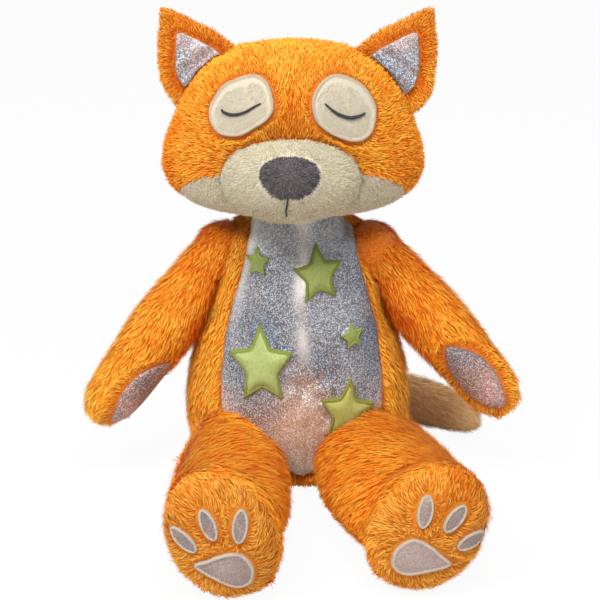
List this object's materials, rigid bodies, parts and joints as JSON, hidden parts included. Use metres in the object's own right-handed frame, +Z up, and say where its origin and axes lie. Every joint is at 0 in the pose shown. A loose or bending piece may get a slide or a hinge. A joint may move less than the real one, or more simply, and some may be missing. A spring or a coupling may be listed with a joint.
{
  "type": "plush fox",
  "caption": "Sitting plush fox with closed eyes, a silver belly with sewn stars, paw pads, a turning head, lifting limbs, folding ears and a swinging tail.",
  "frame": {"origin": "centre of the flat face under the torso that the fox sits on", "axes": "+Z up, -Y the way the fox faces, +X its own left side"},
  "size_m": [0.2608, 0.2804, 0.2809],
  "materials": {
    "orange_pile": "long soft plush pile, combed in tufts",
    "cream_pile": "short velour pile",
    "tail_pile": "short fuzzy pile",
    "sole_pile": "short golden pile",
    "grey_pile": "short velour pile",
    "patch_cloth": "flat velour with a satin-stitched edge",
    "dark_thread": "satin embroidery thread",
    "silver_cloth": "silver foil-dot cloth that glitters",
    "star_cloth": "padded satin with a stitched edge",
    "pad_cloth": "glitter cloth with a satin-stitched edge",
    "fibre_filling": "polyester fibre filling"
  },
  "bodies": {
    "torso": {"torso_cover": "orange_pile", "belly_panel": "silver_cloth", "star_top": "star_cloth", "star_right": "star_cloth", "star_left": "star_cloth", "small_star_top": "star_cloth", "small_star_side": "star_cloth", "torso_filling": "fibre_filling"},
    "neck": {"neck_filling": "fibre_filling"},
    "head": {"head_cover": "orange_pile", "jaw_panel": "cream_pile", "head_filling": "fibre_filling", "muzzle": "cream_pile", "nose": "grey_pile", "mouth_stitch": "dark_thread", "eye_patch_right": "patch_cloth", "eyelid_right": "dark_thread", "eye_patch_left": "patch_cloth", "eyelid_left": "dark_thread"},
    "ear_right": {"ear_cover_right": "orange_pile", "ear_lining_right": "silver_cloth"},
    "ear_left": {"ear_cover_left": "orange_pile", "ear_lining_left": "silver_cloth"},
    "arm_right": {"arm_cover_right": "orange_pile", "palm_pad_right": "silver_cloth", "arm_filling_right": "fibre_filling"},
    "arm_left": {"arm_cover_left": "orange_pile", "palm_pad_left": "silver_cloth", "arm_filling_left": "fibre_filling"},
    "leg_right": {"leg_cover_right": "orange_pile", "sole_right": "sole_pile", "leg_filling_right": "fibre_filling", "sole_pad_right": "pad_cloth", "toe_pad_inner_right": "pad_cloth", "toe_pad_middle_right": "pad_cloth", "toe_pad_outer_right": "pad_cloth"},
    "leg_left": {"leg_cover_left": "orange_pile", "sole_left": "sole_pile", "leg_filling_left": "fibre_filling", "sole_pad_left": "pad_cloth", "toe_pad_inner_left": "pad_cloth", "toe_pad_middle_left": "pad_cloth", "toe_pad_outer_left": "pad_cloth"},
    "tail": {"tail_base": "orange_pile", "tail_tip": "tail_pile", "tail_filling": "fibre_filling"}
  },
  "joints": [
    {"name": "head_nod", "type": "hinge", "parent": "torso", "child": "neck", "pos_m": [0, 0.004, 0.152], "axis": [1, 0, 0], "range_deg": [-10, 8], "stiffness_Nm_per_rad": 0.6},
    {"name": "head_turn", "type": "hinge", "parent": "neck", "child": "head", "pos_m": [0, 0.004, 0.152], "axis": [0, 0, 1], "range_deg": [-35, 35], "stiffness_Nm_per_rad": 0.2},
    {"name": "ear_fold_right", "type": "hinge", "parent": "head", "child": "ear_right", "pos_m": [-0.05135, 0, 0.24158], "axis": [-0.6947, 0, -0.7193], "range_deg": [-25, 25], "stiffness_Nm_per_rad": 0.05},
    {"name": "ear_fold_left", "type": "hinge", "parent": "head", "child": "ear_left", "pos_m": [0.05135, 0, 0.24158], "axis": [0.6947, 0, -0.7193], "range_deg": [-25, 25], "stiffness_Nm_per_rad": 0.05},
    {"name": "arm_lift_right", "type": "hinge", "parent": "torso", "child": "arm_right", "pos_m": [-0.04278, 0, 0.136], "axis": [0, 1, 0], "range_deg": [0, 60], "stiffness_Nm_per_rad": 0.1},
    {"name": "arm_lift_left", "type": "hinge", "parent": "torso", "child": "arm_left", "pos_m": [0.04278, 0, 0.136], "axis": [0, -1, 0], "range_deg": [0, 60], "stiffness_Nm_per_rad": 0.1},
    {"name": "leg_lift_right", "type": "hinge", "parent": "torso", "child": "leg_right", "pos_m": [-0.03795, -0.032, 0.0235], "axis": [-1, 0, 0], "range_deg": [-18, 22], "stiffness_Nm_per_rad": 0.2},
    {"name": "leg_lift_left", "type": "hinge", "parent": "torso", "child": "leg_left", "pos_m": [0.0414, -0.032, 0.0235], "axis": [-0.9781, -0.2079, 0], "range_deg": [-18, 22], "stiffness_Nm_per_rad": 0.2},
    {"name": "tail_swing", "type": "hinge", "parent": "torso", "child": "tail", "pos_m": [0, 0.047, 0.0238], "axis": [0, 0, 1], "range_deg": [0, 40], "stiffness_Nm_per_rad": 0.05}
  ]
}
